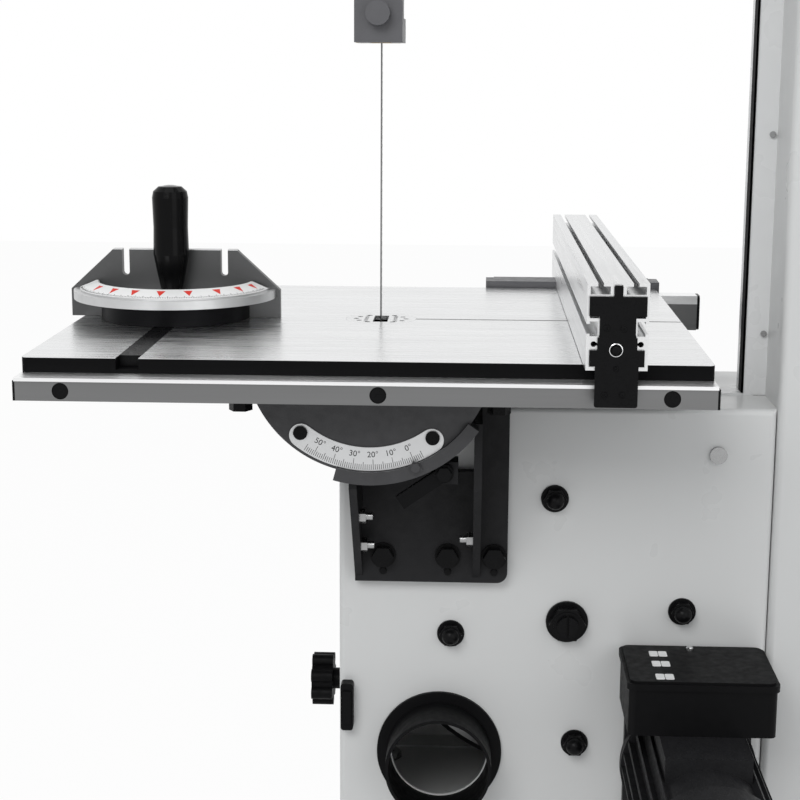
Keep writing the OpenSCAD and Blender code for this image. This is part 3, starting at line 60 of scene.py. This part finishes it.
# Materials
class Surface:
    """A procedural material: colour that varies, roughness that varies, and a bump.

    grain and fine are the noise scales of the colour and of the bump, and stretch draws them out along
    an axis. spread and rough_spread are the most that the colour and the roughness move from their mean.
    """

    def __init__(self, name, colour, rough, metal=0.0, coat=0.0, spread=0.08, grain=40.0, stretch=(1, 1, 1),
                 fine=900.0, bump=0.08, height=0.00012, rough_spread=0.08, spec=0.5):
        self.mat = bpy.data.materials.new(name)
        self.mat.use_nodes = True
        self.tree = self.mat.node_tree
        self.shader = self.tree.nodes["Principled BSDF"]
        self.shader.inputs["Metallic"].default_value = metal
        self.shader.inputs["Coat Weight"].default_value = coat
        self.shader.inputs["Coat Roughness"].default_value = 0.12
        self.shader.inputs["Specular IOR Level"].default_value = spec
        self.place = self.node("ShaderNodeTexCoord").outputs["Object"]
        soft = self.noise(grain, 4.0, stretch)
        dark = [c * (1 - spread) for c in colour]
        light = [min(1.0, c * (1 + spread)) for c in colour]
        self.colour = self.mix(soft, dark, light)
        self.link(self.colour, self.shader.inputs["Base Color"])
        worn = self.noise(grain * 2.3, 3.0, stretch)
        self.rough = self.remap(worn, rough - rough_spread, rough + rough_spread)
        self.link(self.rough, self.shader.inputs["Roughness"])
        relief = self.node("ShaderNodeBump")
        relief.inputs["Strength"].default_value = bump
        relief.inputs["Distance"].default_value = height
        self.link(self.noise(fine, 2.0, stretch), relief.inputs["Height"])
        self.link(relief.outputs["Normal"], self.shader.inputs["Normal"])

    def node(self, kind):
        return self.tree.nodes.new(kind)

    def link(self, a, b):
        self.tree.links.new(a, b)

    def noise(self, scale, detail, stretch=(1, 1, 1)):
        lay = self.node("ShaderNodeMapping")
        lay.inputs["Scale"].default_value = stretch
        self.link(self.place, lay.inputs["Vector"])
        n = self.node("ShaderNodeTexNoise")
        n.inputs["Scale"].default_value = scale
        n.inputs["Detail"].default_value = detail
        self.link(lay.outputs["Vector"], n.inputs["Vector"])
        return n.outputs["Fac"]

    def remap(self, value, low, high, from_low=0.3, from_high=0.7):
        """Maps a value to low and high, by default from the range that a noise mostly keeps to."""
        m = self.node("ShaderNodeMapRange")
        m.inputs["From Min"].default_value = from_low
        m.inputs["From Max"].default_value = from_high
        m.inputs["To Min"].default_value = low
        m.inputs["To Max"].default_value = high
        self.link(value, m.inputs["Value"])
        return m.outputs["Result"]

    def mix(self, factor, first, second):
        m = self.node("ShaderNodeMix")
        m.data_type = "RGBA"
        for socket, value in (("A", first), ("B", second)):
            target = next(s for s in m.inputs if s.name == socket and s.type == "RGBA")
            if isinstance(value, (list, tuple)):
                target.default_value = (*value, 1.0)
            else:
                self.link(value, target)
        self.link(factor, m.inputs["Factor"])
        return next(s for s in m.outputs if s.type == "RGBA")

    def between(self, axis, low, high, soft=0.0002):
        """1 where the object coordinate lies between low and high (metres), 0 elsewhere."""
        parts = self.node("ShaderNodeSeparateXYZ")
        self.link(self.place, parts.inputs["Vector"])
        up = self.remap(parts.outputs[axis], 0.0, 1.0, low - soft, low + soft)
        down = self.remap(parts.outputs[axis], 1.0, 0.0, high - soft, high + soft)
        return self.math("MULTIPLY", up, down)

    def math(self, kind, a, b):
        m = self.node("ShaderNodeMath")
        m.operation = kind
        for i, v in enumerate((a, b)):
            if isinstance(v, (int, float)):
                m.inputs[i].default_value = v
            else:
                self.link(v, m.inputs[i])
        return m.outputs[0]

    def recolour(self, mask, colour, rough=None):
        """Lays another colour, and if wanted another roughness, where the mask is 1."""
        self.colour = self.mix(mask, self.colour, colour)
        self.link(self.colour, self.shader.inputs["Base Color"])
        if rough is not None:
            low = self.math("MULTIPLY", self.math("SUBTRACT", 1.0, mask), self.rough)
            self.rough = self.math("ADD", low, self.math("MULTIPLY", mask, rough))
            self.link(self.rough, self.shader.inputs["Roughness"])

    def metal_by(self, mask, inside, outside):
        self.link(self.remap(mask, outside, inside, 0.0, 1.0), self.shader.inputs["Metallic"])


def black(name, colour, rough, **more):
    """A black that stays black in front of a white studio: little of what it mirrors comes back."""
    return Surface(name, (colour, colour, colour * 1.08), rough, **more)


def metal(name, colour, rough, **more):
    """A bare metal of nearly neutral colour."""
    return Surface(name, (colour, colour * 1.008, colour * 1.014), rough, metal=1.0, **more)


housing = Surface("housing_paint", (0.64, 0.645, 0.64), 0.34, spread=0.02, grain=9, fine=1400, bump=0.10,
                  height=0.00008, coat=0.15)
guard_paint = Surface("return_guard_paint", (0.70, 0.705, 0.705), 0.3, spread=0.03, grain=9, fine=1400,
                      bump=0.10, height=0.00008)
black_paint = black("black_paint", 0.007, 0.42, spread=0.25, grain=35, fine=700, bump=0.35, spec=0.08)
cast_black = black("cast_black", 0.014, 0.5, spread=0.3, grain=60, fine=420, bump=0.55, height=0.0003,
                   spec=0.15)
cast_grey = black("trunnion_cast", 0.032, 0.5, spread=0.3, grain=60, fine=420, bump=0.55, height=0.0003)
grey_paint = black("grey_paint", 0.085, 0.45, spread=0.2, grain=50, fine=500, bump=0.4, height=0.0002)
rubber = black("rubber", 0.012, 0.75, spread=0.3, grain=80, fine=900, bump=0.3, spec=0.1)
print_black = black("print_black", 0.010, 0.5, spread=0.2, grain=300, fine=900, bump=0.05, spec=0.1)
black_steel = black("black_oxide", 0.005, 0.3, spread=0.3, grain=150, fine=900, bump=0.15, spec=0.08)
plastic = black("black_plastic", 0.005, 0.48, spread=0.15, grain=60, fine=1600, bump=0.35, spec=0.07)
gloss = black("gloss_black", 0.003, 0.16, spread=0.2, grain=40, fine=600, bump=0.03, rough_spread=0.04,
              spec=0.08)
polished = black("polished_black", 0.004, 0.08, spread=0.2, grain=40, fine=600, bump=0.02,
                 rough_spread=0.03, coat=0.6)
wheel_iron = metal("wheel_iron", 0.36, 0.38, spread=0.15, grain=70, fine=600, bump=0.4)
zinc = metal("zinc_steel", 0.34, 0.3, spread=0.1, grain=120, fine=1500, bump=0.12)
bright = metal("bright_steel", 0.72, 0.24, spread=0.06, grain=120, fine=1500, bump=0.1)
chrome = metal("chrome", 0.8, 0.1, spread=0.04, grain=90, fine=1500, bump=0.03, rough_spread=0.04)
blade_steel = metal("blade_steel", 0.035, 0.36, spread=0.3, grain=60, stretch=(1, 30, 1), fine=900, bump=0.2)
fence_metal = metal("fence_aluminium", 0.72, 0.33, spread=0.06, grain=160, stretch=(1, 0.02, 1), fine=2400,
                    bump=0.16)
insert_metal = metal("insert_metal", 0.72, 0.3, spread=0.08, grain=160, fine=2000, bump=0.12)
scale_plate = Surface("scale_plate", (0.66, 0.665, 0.67), 0.36, metal=0.6, spread=0.06, grain=70,
                      fine=1800, bump=0.08)
white_print = Surface("white_print", (0.86, 0.86, 0.855), 0.4, spread=0.03, grain=60, fine=900, bump=0.04)
print_red = Surface("print_red", (0.68, 0.03, 0.015), 0.45, spread=0.12, grain=300, fine=900, bump=0.05,
                    spec=0.2)
yellow = Surface("guard_paint", (0.62, 0.36, 0.02), 0.36, spread=0.05, grain=30, fine=900, bump=0.15)
ceramic = Surface("ceramic", (0.6, 0.59, 0.56), 0.35, spread=0.06, grain=200, fine=900, bump=0.1)
green = Surface("start_green", (0.02, 0.24, 0.06), 0.22, spread=0.06, grain=60, fine=900, bump=0.05, coat=0.3)
red = Surface("stop_red", (0.45, 0.012, 0.012), 0.22, spread=0.06, grain=60, fine=900, bump=0.05, coat=0.3)

# Rails: drawn lines along X, and a painted highlight on the lip along the top, coloured lighter than the face
LIP_UNDER = TABLE - 16.1
rail_metal = metal("rail_aluminium", 0.19, 0.36, spread=0.05, grain=160, stretch=(0.02, 1, 1), fine=2400,
                   bump=0.14)
# Painted highlight: the lip's top and front face are coloured near white, for the light that falls on them
lip_painted_highlight = rail_metal.between("Z", LIP_UNDER * MM, (TABLE + 1) * MM, 0.00005)
rail_metal.recolour(lip_painted_highlight, (0.86, 0.863, 0.866))

# Table: ground top with grinding lines along X, black paint on the edges and the underside
GROUND_FROM = TABLE - 0.35
iron = metal("ground_iron", 0.74, 0.27, spread=0.16, grain=220, stretch=(0.03, 1, 1), fine=2600, bump=0.2,
             rough_spread=0.06, spec=0.05)
top = iron.between("Z", GROUND_FROM * MM, (TABLE + 2) * MM, 0.0001)
painted = iron.math("SUBTRACT", 1.0, top)
iron.recolour(painted, (0.003, 0.003, 0.0033), 0.5)
iron.metal_by(painted, 0.0, 1.0)

# Protractor casting: painted shade, the work face is coloured darker than the light rim, and the base below
# the rim is coloured black for the shade under the rim
mitre_cast = metal("mitre_casting", 0.56, 0.4, spread=0.1, grain=50, fine=1100, bump=0.3)
# Painted shade: the work face is coloured dark grey, for the shade on it
work_face_painted_shade = mitre_cast.math("MULTIPLY", mitre_cast.between("Y", WORK_FACE[0] * MM, WORK_FACE[1] * MM, 0.0001),
                            mitre_cast.between("Z", TABLE * MM, PAINTED_SHADE_TOP * MM, 0.0001))
mitre_cast.recolour(work_face_painted_shade, (0.09, 0.091, 0.092), 0.42)
# Painted shade: the base under the rim is coloured black, for the shade that falls under the rim
base_painted_shade = mitre_cast.math("MULTIPLY", mitre_cast.between("Y", -0.2, WORK_FACE[0] * MM, 0.0001),
                       mitre_cast.between("Z", (TABLE - 1) * MM, RIM_UNDER * MM, 0.0001))
mitre_cast.recolour(base_painted_shade, (0.012, 0.012, 0.013), 0.5)

LOOKS = [
    (housing, "stand lower_housing column upper_housing lower_door upper_door"),
    (guard_paint, "return_guard"),
    (cast_black, "trunnion_bracket motor_body"),
    (cast_grey, "trunnion saddle"),
    (black_paint, "hinge_brackets"),
    (plastic, "terminal_box terminal_lid dust_port door_switch switch_box tracking_knob "
              "lower_door_knob upper_door_knob fence_lever clamp_lever"),
    (grey_paint, "lower_guide_bracket guide_head fence_carriage tension_carriage"),
    (wheel_iron, "lower_wheel upper_wheel tracking_block"),
    (rubber, "lower_tyre upper_tyre drive_belt"),
    (blade_steel, "blade"),
    (zinc, "frame_fasteners"),
    (bright, "lower_bearings upper_bearings motor_pulley tension_spring guide_post "
             "upper_thrust_bearing lower_thrust_bearing"),
    (rail_metal, "near_rail far_rail"),
    (fence_metal, "fence"),
    (scale_plate, "tilt_scale"),
    (mitre_cast, "mitre_head"),
    (insert_metal, "table_insert"),
    (iron, "table"),
    (black_steel, "wall_fasteners fence_end_plate rail_fittings lower_shaft mitre_bar"),
    (gloss, "mitre_handle tension_handwheel guide_handwheel"),
    (yellow, "blade_guard"),
    (ceramic, "upper_guide_blocks"),
    (green, "start_button"),
    (red, "stop_button"),
]
for surface, names in LOOKS:
    for name in names.split():
        data = NODES[name].data
        data.materials.clear()
        data.materials.append(surface.mat)


# Mesh pieces
SMOOTH_BELOW = math.radians(35.0)


def piece(name, bm, surface, body):
    """Turns a bmesh drawn in millimetres into an object that rides on a body."""
    bmesh.ops.scale(bm, vec=(MM, MM, MM), verts=bm.verts)
    bmesh.ops.recalc_face_normals(bm, faces=bm.faces)
    data = bpy.data.meshes.new(name)
    for e in bm.edges:
        e.smooth = len(e.link_faces) == 2 and e.calc_face_angle(0.0) < SMOOTH_BELOW
    for f in bm.faces:
        f.smooth = True
    bm.to_mesh(data)
    bm.free()
    obj = bpy.data.objects.new(name, data)
    bpy.context.scene.collection.objects.link(obj)
    data.materials.append(surface.mat)
    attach(obj, body)


def turn(to_axis, at):
    """Places a shape drawn round +Z so that it points along to_axis from the point at (millimetres)."""
    lean = Vector((0, 0, 1)).rotation_difference(Vector(to_axis))
    return Matrix.Translation(Vector(at)) @ lean.to_matrix().to_4x4()


def lathe(bm, profile, place, n=40):
    """Revolves (radius, height) pairs round +Z; a radius of 0 closes the shape at the axis."""
    rings = []
    for r, h in profile:
        if r == 0:
            rings.append([bm.verts.new(place @ Vector((0, 0, h)))])
        else:
            angles = [2 * math.pi * k / n for k in range(n)]
            points = [Vector((r * math.cos(a), r * math.sin(a), h)) for a in angles]
            rings.append([bm.verts.new(place @ point) for point in points])
    for a, b in zip(rings, rings[1:]):
        for k in range(n):
            j = (k + 1) % n
            corners = [a[k % len(a)], a[j % len(a)], b[j % len(b)], b[k % len(b)]]
            unique = list(dict.fromkeys(corners))
            if len(unique) > 2:
                bm.faces.new(unique)


def prism(bm, outline, place, depth):
    """Extrudes a flat outline along +Z of its own frame."""
    low = [bm.verts.new(place @ Vector((x, y, 0))) for x, y in outline]
    high = [bm.verts.new(place @ Vector((x, y, depth))) for x, y in outline]
    bm.faces.new(low[::-1])
    bm.faces.new(high)
    for k in range(len(low)):
        j = (k + 1) % len(low)
        bm.faces.new([low[k], low[j], high[j], high[k]])


def slab(bm, x0, x1, y0, y1, z0, z1):
    """Adds a plain rectangular block."""
    prism(bm, [(x0, y0), (x1, y0), (x1, y1), (x0, y1)], Matrix.Translation((0, 0, z0)), z1 - z0)


def face_frame(origin, right, up):
    """A frame whose X is right, Y is up and Z points out of the face, at a point in millimetres."""
    r, u = Vector(right).normalized(), Vector(up).normalized()
    m = Matrix((r, u, r.cross(u))).transposed().to_4x4()
    return Matrix.Translation(Vector(origin)) @ m


NUMERAL_HALF_T = 0.04


def lettering(bm, text, size, place):
    """Adds flat numerals, centred on the frame's origin."""
    curve = bpy.data.curves.new("numerals", "FONT")
    curve.body = text
    curve.size = size
    curve.align_x = "CENTER"
    curve.align_y = "CENTER"
    curve.extrude = NUMERAL_HALF_T
    holder = bpy.data.objects.new("numerals", curve)
    bpy.context.scene.collection.objects.link(holder)
    bpy.context.view_layer.update()
    mesh = bpy.data.meshes.new_from_object(holder)
    mesh.transform(place)
    bm.from_mesh(mesh)
    bpy.data.objects.remove(holder)
    bpy.data.meshes.remove(mesh)


# Tilt scale: ticks every degree, numerals every ten, on a plate that swings round the table's pivot
SCALE_OUT = TABLE - SCALE_LOW.z - 1.3
NUMERAL_R = SCALE_OUT - 13.2
NUMERAL_SIZE, NUMERAL_OUT = 7.2, 0.05
ZERO_AT = 22.3
TILT_TICKS = ((10, 9.0), (5, 6.6), (1, 4.6))
TICK_W = 0.44
TICK_T = 0.08


def on_plate(degrees, radius, out=0.0):
    """A frame on the tilt scale's plate, its Y toward the pivot."""
    a = math.radians(ZERO_AT - degrees)
    at = (radius * math.sin(a), SCALE_LOW.y - out, TABLE - radius * math.cos(a))
    return face_frame(at, (math.cos(a), 0, math.sin(a)), (-math.sin(a), 0, math.cos(a)))


def tick(bm, degrees, lengths, place, depth):
    """Adds a tick, as long as the first of the (step, length) pairs whose step divides the degrees."""
    length = next(size for step, size in lengths if degrees % step == 0)
    half = TICK_W / 2
    prism(bm, [(-half, 0), (half, 0), (half, length), (-half, length)], place, depth)


marks = bmesh.new()
for deg in range(-5, 56):
    tick(marks, deg, TILT_TICKS, on_plate(deg, SCALE_OUT), TICK_T)
for deg in range(0, 51, 10):
    lettering(marks, f"{deg}°", NUMERAL_SIZE, on_plate(deg, NUMERAL_R, NUMERAL_OUT))
piece("tilt_scale_marks", marks, print_black, "table")

# Mitre scale: a white sloped ring, ticks along its outer edge, and a red wedge at each stop
MITRE_X, MITRE_Y = -200.0, 0.0
SLOPE_OUT, SLOPE_IN, SLOPE_UP = 91.6, 76.5, 6.3
RING_LIP = 0.3
BAND_END, BAND_STEPS = 84, 72
MITRE_TICKS = ((5, 3.6), (1, 2.0))
WEDGE_W, WEDGE_H = 8.4, 9.5
TICKS_IN, WEDGES_IN = 0.6, 4.4
PRINT_T, PRINT_GAP = 0.05, 0.04
slope = math.atan2(SLOPE_UP, SLOPE_OUT - SLOPE_IN)
section = [(SLOPE_OUT, 0), (SLOPE_OUT, RING_LIP), (SLOPE_IN, RING_LIP + SLOPE_UP),
           (SLOPE_IN - 2, RING_LIP + SLOPE_UP), (SLOPE_IN - 3, 5), (SLOPE_IN - 3, 0)]
band = bmesh.new()
rings = []
for k in range(BAND_STEPS + 1):
    a = math.radians(-BAND_END + 2 * BAND_END * k / BAND_STEPS)
    rings.append([band.verts.new((MITRE_X + r * math.sin(a), MITRE_Y - r * math.cos(a), RING_TOP + h))
                  for r, h in section])
for one, other in zip(rings, rings[1:]):
    for k in range(len(section)):
        j = (k + 1) % len(section)
        band.faces.new([one[k], one[j], other[j], other[k]])
band.faces.new(rings[0])
band.faces.new(rings[-1])
piece("mitre_scale_band", band, white_print, "mitre_head")


def on_slope(degrees, along):
    """A frame on the sloped ring, its Y up the slope, a distance in from the outer edge."""
    a = math.radians(degrees)
    r = SLOPE_OUT - along * math.cos(slope)
    height = RING_TOP + RING_LIP + PRINT_GAP + along * math.sin(slope)
    at = (MITRE_X + r * math.sin(a), MITRE_Y - r * math.cos(a), height)
    up = (-math.sin(a) * math.cos(slope), math.cos(a) * math.cos(slope), math.sin(slope))
    return face_frame(at, (math.cos(a), math.sin(a), 0), up)


ticks = bmesh.new()
for deg in range(-78, 79):
    tick(ticks, deg, MITRE_TICKS, on_slope(deg, TICKS_IN), PRINT_T)
piece("mitre_scale_ticks", ticks, print_black, "mitre_head")
wedges = bmesh.new()
for deg in (-53, -35, -18, 0, 18, 38, 56, 72):
    triangle = [(0, 0), (WEDGE_W / 2, WEDGE_H), (-WEDGE_W / 2, WEDGE_H)]
    prism(wedges, triangle, on_slope(deg, WEDGES_IN), PRINT_T)
piece("mitre_scale_wedges", wedges, print_red, "mitre_head")

# Black strip round the upright edge of the return guard, where that edge shows black, drawn with the rubber
# look
EDGE_X, EDGE_Y, EDGE_BACK_Y = 347.6, -15.4, 3.0
STRIP_W, STRIP_T = 2.0, 1.35
STRIP_Z = (TABLE - 65.8, TABLE + 409.8)
edge_strip = bmesh.new()
# A black strip along the guard's edge, given the rubber look
slab(edge_strip, EDGE_X, EDGE_X + STRIP_T, EDGE_Y, EDGE_BACK_Y, *STRIP_Z)
slab(edge_strip, EDGE_X, EDGE_X + STRIP_W, EDGE_Y, EDGE_Y + STRIP_T, *STRIP_Z)
piece("guard_edge_black_strip", edge_strip, rubber, "frame")

# Fence's end plate: a ringed pin, and five sunk screws with a distance from the plate's middle, a height
# over the table and a radius each
PLATE_X = (PLATE_LOW.x + PLATE_HIGH.x) / 2
SCREWS = ((-8.8, 36.3, 2.6), (4.8, 35.6, 2.6), (-0.6, 3.0, 2.0), (-9.3, -18.5, 2.4), (4.9, -18.3, 2.4))
for i, (aside, up, r) in enumerate(SCREWS):
    head = bmesh.new()
    lathe(head, [(0, 0), (r, 0), (r, 1.0), (r * 0.85, 1.5), (r * 0.45, 1.6), (r * 0.45, 0.7), (0, 0.7)],
          turn((0, -1, 0), (PLATE_X + aside, PLATE_LOW.y, TABLE + up)), 24)
    piece(f"plate_screw_{i + 1}", head, black_steel, "fence")
pin_place = turn((0, -1, 0), (PLATE_X - 1.1, PLATE_LOW.y, TABLE + 18.5))
ring = bmesh.new()
lathe(ring, [(4.5, 0), (5.7, 0), (5.8, 1.0), (5.5, 1.9), (5.0, 2.1), (4.5, 1.7), (4.5, 0)], pin_place)
piece("plate_ring", ring, chrome, "fence")
pin = bmesh.new()
lathe(pin, [(0, 0), (3.2, 0), (3.2, 3.0), (2.4, 3.9), (0, 4.1)], pin_place, 28)
piece("plate_pin", pin, black_steel, "fence")

# Terminal box: two columns of three blank inlays and a screw on its lid
PAD_W, PAD_D, PAD_CUT, PAD_T = 3.9, 6.5, 1.0, 0.6
PAD_COLUMNS, PAD_ROWS = (30.3, 38.7), (27.0, 53.5, 87.0)
pad_places = [(LID_LOW.x + px, LID_HIGH.y - py) for py in PAD_ROWS for px in PAD_COLUMNS]
corner = [(PAD_W - PAD_CUT, -PAD_D), (PAD_W, PAD_CUT - PAD_D),
          (PAD_W, PAD_D - PAD_CUT), (PAD_W - PAD_CUT, PAD_D)]
outline = corner + [(-x, -y) for x, y in corner]
for i, (x, y) in enumerate(pad_places):
    pad = bmesh.new()
    prism(pad, outline, Matrix.Translation((x, y, LID_HIGH.z)), PAD_T)
    piece(f"lid_inlay_{i + 1}", pad, white_print, "frame")
screw = bmesh.new()
lathe(screw, [(0, 0), (3.4, 0), (3.4, 1.6), (2.6, 2.4), (0, 2.6)],
      turn((0, 0, 1), (LID_LOW.x + 65.5, LID_HIGH.y - 12, LID_HIGH.z)), 28)
piece("lid_screw", screw, bright, "frame")

# Polished dome on the mitre gauge's handle
CAP_R, CAP_H = 16.0, 7.0
middle = (HANDLE_LOW + HANDLE_HIGH) / 2
dome_angles = [math.radians(d) for d in range(80, -1, -10)]
dome = [(CAP_R * 0.9 * math.cos(a), CAP_H * math.sin(a)) for a in dome_angles]
cap = bmesh.new()
lathe(cap, [(0, CAP_H)] + dome + [(CAP_R * 0.96, -1.0), (CAP_R, -1.8), (CAP_R * 0.975, -2.6), (0, -2.6)],
      turn((0, 0, 1), (middle.x, middle.y, HANDLE_HIGH.z - CAP_H + 0.1)), 48)
piece("handle_cap", cap, polished, "mitre_handle")


# Floor, light and camera
def rays(tree, *kinds):
    """1 for a ray of one of these kinds, 0 for any other."""
    path = tree.nodes.new("ShaderNodeLightPath")
    value = path.outputs[kinds[0]]
    for kind in kinds[1:]:
        either = tree.nodes.new("ShaderNodeMath")
        either.operation = "MAXIMUM"
        tree.links.new(value, either.inputs[0])
        tree.links.new(path.outputs[kind], either.inputs[1])
        value = either.outputs[0]
    return value


def plain(name, colour, camera_white):
    """A diffuse surface that the camera and reflections see as mostly white."""
    mat = bpy.data.materials.new(name)
    mat.use_nodes = True
    tree = mat.node_tree
    shader = tree.nodes["Principled BSDF"]
    shader.inputs["Base Color"].default_value = (*colour, 1.0)
    shader.inputs["Roughness"].default_value = 0.9
    glow = tree.nodes.new("ShaderNodeEmission")
    glow.inputs["Color"].default_value = (1, 1, 1, 1)
    share = tree.nodes.new("ShaderNodeMath")
    share.operation = "MULTIPLY"
    share.inputs[1].default_value = camera_white
    tree.links.new(rays(tree, "Is Camera Ray", "Is Glossy Ray"), share.inputs[0])
    blend = tree.nodes.new("ShaderNodeMixShader")
    tree.links.new(share.outputs[0], blend.inputs["Fac"])
    tree.links.new(shader.outputs[0], blend.inputs[1])
    tree.links.new(glow.outputs[0], blend.inputs[2])
    tree.links.new(blend.outputs[0], tree.nodes["Material Output"].inputs["Surface"])
    return mat


FLOOR_HALF = 9
ground = bpy.data.meshes.new("floor")
ends = [(-1, -1), (1, -1), (1, 1), (-1, 1)]
ground.from_pydata([(x * FLOOR_HALF, y * FLOOR_HALF, 0) for x, y in ends], [], [(0, 1, 2, 3)])
floor = bpy.data.objects.new("floor", ground)
bpy.context.scene.collection.objects.link(floor)
ground.materials.append(plain("floor_white", (0.7, 0.7, 0.7), 0.96))

world = bpy.data.worlds.new("studio")
bpy.context.scene.world = world
world.use_nodes = True
tree = world.node_tree
back = tree.nodes["Background"]
back.inputs["Color"].default_value = (0.86, 0.88, 0.9, 1)
back.inputs["Strength"].default_value = 0.55
white = tree.nodes.new("ShaderNodeBackground")
white.inputs["Color"].default_value = (1, 1, 1, 1)
seen_white = rays(tree, "Is Camera Ray", "Is Transmission Ray", "Is Glossy Ray")
blend = tree.nodes.new("ShaderNodeMixShader")
tree.links.new(seen_white, blend.inputs["Fac"])
tree.links.new(back.outputs[0], blend.inputs[1])
tree.links.new(white.outputs[0], blend.inputs[2])
tree.links.new(blend.outputs[0], tree.nodes["World Output"].inputs["Surface"])


def lamp(name, at, target, size, power):
    """A rectangular lamp, with its places and size in metres and its power in watts."""
    data = bpy.data.lights.new(name, "AREA")
    data.shape = "RECTANGLE"
    data.size, data.size_y = size
    data.energy = power
    obj = bpy.data.objects.new(name, data)
    bpy.context.scene.collection.objects.link(obj)
    obj.location = at
    obj.rotation_euler = (Vector(target) - Vector(at)).to_track_quat("-Z", "Y").to_euler()


lamp("key", (-0.9, -2.8, 2.9), (0.1, 0, 0.9), (2.0, 1.6), 55)
lamp("fill", (1.7, -2.6, 1.5), (0.1, 0, 0.8), (1.6, 2.2), 11)
lamp("over", (0.2, 0.4, 3.4), (0.1, 0, 0.9), (2.4, 2.4), 15)

# The camera fitted to the photo: angles in radians, place in metres with its height over the table, lens
YAW, PITCH, ROLL = 0.044, 0.197, 0.005
CAMERA_X, CAMERA_Y, CAMERA_OVER_TABLE = 0.09022, -1.62365, 0.24398
SENSOR_W, FOCAL = 36, 76.05
ahead = Vector((-math.sin(YAW) * math.cos(PITCH), math.cos(YAW) * math.cos(PITCH), -math.sin(PITCH)))
side = Vector((math.cos(YAW), math.sin(YAW), 0))
above = side.cross(ahead)
across = side * math.cos(ROLL) + above * math.sin(ROLL)
upward = -side * math.sin(ROLL) + above * math.cos(ROLL)
lens = bpy.data.cameras.new("camera")
lens.sensor_width = SENSOR_W
lens.lens = FOCAL
camera = bpy.data.objects.new("camera", lens)
bpy.context.scene.collection.objects.link(camera)
place = Matrix.Translation((CAMERA_X, CAMERA_Y, TABLE * MM + CAMERA_OVER_TABLE))
camera.matrix_world = place @ Matrix((across, upward, -ahead)).transposed().to_4x4()
bpy.context.scene.camera = camera
bpy.context.scene.view_settings.view_transform = "Standard"
